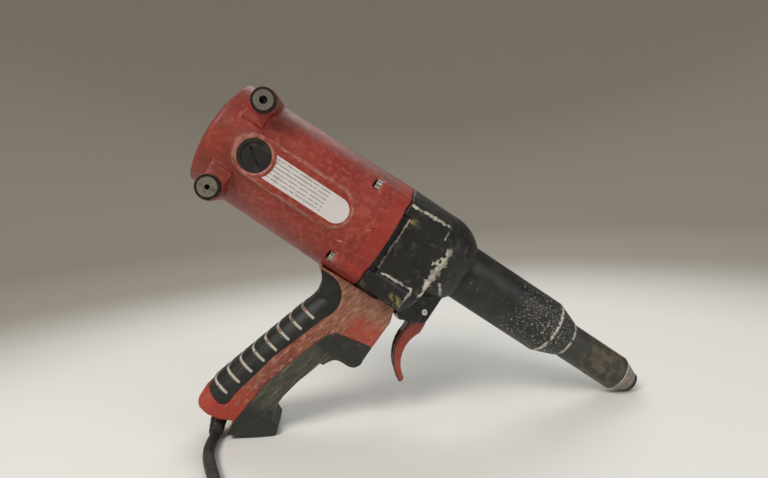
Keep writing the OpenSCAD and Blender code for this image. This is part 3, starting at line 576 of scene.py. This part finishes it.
BACK_SLOPE = math.tan(math.radians(17.2))
BACK_X, BACK_Z = -19.3, -75.4
BACK_HALF = 13.8
ROUND_R, ROUND_START = 11, 5.5
WEB_X, WEB_Z, WEB_R = -36, -64, 20.2


def grip_back(bm):
    """The web of rubber that joins the two sides of the rear grip across the handle's back."""
    across, along = 22, 52
    sheets = [[], []]
    for i in range(along + 1):
        z = -48.4 - 100.4 * i / along
        plane = BACK_X + (z - BACK_Z) * BACK_SLOPE
        web = WEB_X + math.sqrt(max(WEB_R**2 - (z - WEB_Z) ** 2, 0))
        outline = web if z > BACK_Z else plane
        for j in range(across + 1):
            y = BACK_HALF * (2 * j / across - 1)
            corner = max(abs(y) - ROUND_START, 0)
            rounded = plane + ROUND_R - math.sqrt(ROUND_R**2 - corner**2)
            surface = max(outline, rounded) if z < -62 else outline
            proud = 0.5 * (1 - (abs(y) / BACK_HALF) ** 6)
            sheets[0].append(bm.verts.new(to_row(surface - proud, y, z)))
            sheets[1].append(bm.verts.new(to_row(surface + 1.6, y, z)))
    row = across + 1
    made = []
    for i in range(along):
        for j in range(across):
            a = i * row + j
            for sheet in sheets:
                made.append(bm.faces.new([sheet[k] for k in (a, a + 1, a + row + 1, a + row)]))
    border = list(range(row)) + [i * row + across for i in range(1, along + 1)]
    border += [along * row + j for j in range(across - 1, -1, -1)]
    border += [i * row for i in range(along - 1, 0, -1)]
    for a, b in zip(border, border[1:] + border[:1]):
        made.append(bm.faces.new((sheets[0][a], sheets[0][b], sheets[1][b], sheets[1][a])))
    bmesh.ops.recalc_face_normals(bm, faces=made)


GROOVES = 8
GROOVE_STEP = 10.05
rear_grip = moulded("rear_grip_pad", "rear_grip", 0.5, 3, "rubber_grip", grip_back)
at = tool_points(rear_grip.data)
groove = np.zeros(len(at))
for i in range(GROOVES):
    start = (-20.9 - 2.9 * i, -75.8 - GROOVE_STEP * i)
    end = (start[0] + 10.6, start[1] - 1.2)
    groove = np.maximum(groove, 1 - segment_distance(at, start[0] - 8, start[1] + 0.9, *end) / 1.0)
flat = np.empty(len(at) * 3)
rear_grip.data.vertices.foreach_get("co", flat)
inward = np.empty(len(at) * 3)
rear_grip.data.vertices.foreach_get("normal", inward)
flat -= inward * np.repeat(np.minimum(groove * 1.6, 1), 3) * 0.7 * MM
rear_grip.data.vertices.foreach_set("co", flat)
mark(rear_grip, "groove", groove * 2.2)

moulded("front_grip_pad", "front_grip", 0.6, 4, "front_pad")
moulded("trigger_lever", "trigger", 0.4, 3, "trigger_red")

# ---- strain relief and plug -------------------------------------------------------------


def tube(name, line, radii, sides=28):
    """A closed tube along a line in the row frame, with one radius for each point."""
    bm = bmesh.new()
    rings = []
    for i, (at, radius) in enumerate(zip(line, radii)):
        ahead = (line[min(i + 1, len(line) - 1)] - line[max(i - 1, 0)]).normalized()
        across = ahead.cross(Vector((0, 0, 1)) if abs(ahead.z) < 0.9 else Vector((0, 1, 0))).normalized()
        other = ahead.cross(across)
        rings.append([
            bm.verts.new((at + radius * (math.cos(a) * across + math.sin(a) * other)) * MM)
            for a in (2 * math.pi * k / sides for k in range(sides))
        ])
    for low, high in zip(rings, rings[1:]):
        for k in range(sides):
            bm.faces.new((low[k], low[(k + 1) % sides], high[(k + 1) % sides], high[k]))
    bm.faces.new(rings[0][::-1])
    bm.faces.new(rings[-1])
    bmesh.ops.recalc_face_normals(bm, faces=bm.faces)
    mesh = bpy.data.meshes.new(name)
    bm.to_mesh(mesh)
    bm.free()
    mesh.shade_smooth()
    return link(name, mesh)


relief_line = smooth_line(RELIEF_ROUTE, 6)
relief_radii = np.interp(np.linspace(0, 1, len(relief_line)), np.linspace(0, 1, len(RELIEF_R)), RELIEF_R)
relief_radii = [float(r) - 0.25 * (0.5 + 0.5 * math.cos(i * 1.05)) for i, r in enumerate(relief_radii)]
relief = tube("cord_boot", relief_line, relief_radii)
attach(relief, "tool_body")
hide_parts("strain_relief")
wear(relief, "black_plastic")

# ---- stage ---------------------------------------------------------------------------------

FLOOR_R, WALL_R, WALL_H = 1.3, 2.4, 2.2


def studio():
    """A pale floor that runs up into a wall all round, greyed further out by painted shade."""
    bm = bmesh.new()
    sides, steps = 96, 14
    profile = [(0.0001, 0), (FLOOR_R, 0)]
    for i in range(1, steps + 1):
        a = math.pi / 2 * i / steps
        profile.append((FLOOR_R + (WALL_R - FLOOR_R) * math.sin(a), WALL_H * (1 - math.cos(a))))
    rings = [
        [bm.verts.new((r * math.cos(a), r * math.sin(a), z)) for a in (2 * math.pi * k / sides for k in range(sides))]
        for r, z in profile
    ]
    for low, high in zip(rings, rings[1:]):
        for k in range(sides):
            bm.faces.new((low[k], low[(k + 1) % sides], high[(k + 1) % sides], high[k]))
    mesh = bpy.data.meshes.new("studio")
    bm.to_mesh(mesh)
    bm.free()
    mesh.shade_smooth()
    obj = link("studio", mesh)
    obj.location.z = -0.0001
    material = bpy.data.materials.new("studio")
    material.use_nodes = True
    bsdf = material.node_tree.nodes["Principled BSDF"]
    tree = material.node_tree
    # painted shade: floor and wall turn grey with distance from the middle, standing in for light falling off
    shade = tree.nodes.new("ShaderNodeMapRange")
    shade.interpolation_type = "SMOOTHSTEP"
    shade.inputs["From Min"].default_value = 0.3
    shade.inputs["From Max"].default_value = 0.75
    far = tree.nodes.new("ShaderNodeVectorMath")
    far.operation = "LENGTH"
    tree.links.new(tree.nodes.new("ShaderNodeTexCoord").outputs["Object"], far.inputs[0])
    tree.links.new(far.outputs["Value"], shade.inputs["Value"])
    tint = tree.nodes.new("ShaderNodeMix")
    tint.data_type = "RGBA"
    tree.links.new(shade.outputs[0], tint.inputs[0])
    tint.inputs[6].default_value = colour(246, 246, 240)
    tint.inputs[7].default_value = colour(172, 165, 152)
    tree.links.new(tint.outputs[2], bsdf.inputs["Base Color"])
    bsdf.inputs["Roughness"].default_value = 0.7
    mesh.materials.append(material)
    return obj


studio()


def lamp(name, place, size, power, tint=(1, 1, 1)):
    """A soft rectangular lamp aimed at the middle of the tool."""
    light = bpy.data.lights.new(name, "AREA")
    light.shape = "RECTANGLE"
    light.size, light.size_y = size
    light.energy = power
    light.color = tint
    obj = bpy.data.objects.new(name, light)
    bpy.context.scene.collection.objects.link(obj)
    obj.location = place
    aim = Vector((0, 0, 0.1)) - Vector(place)
    obj.rotation_mode = "QUATERNION"
    obj.rotation_quaternion = aim.to_track_quat("-Z", "Y")


lamp("key", (-0.75, -0.9, 1.3), (0.9, 0.6), 16, (1, 0.97, 0.92))
lamp("fill", (1.1, -1.0, 0.7), (1.0, 0.8), 4.5)
lamp("rim", (0.2, 1.1, 1.2), (1.2, 0.5), 6)

world = bpy.data.worlds.new("world")
bpy.context.scene.world = world
world.use_nodes = True
world.node_tree.nodes["Background"].inputs["Color"].default_value = (0.93, 0.95, 1, 1)
world.node_tree.nodes["Background"].inputs["Strength"].default_value = 0.36
bpy.context.scene.view_settings.view_transform = "Standard"
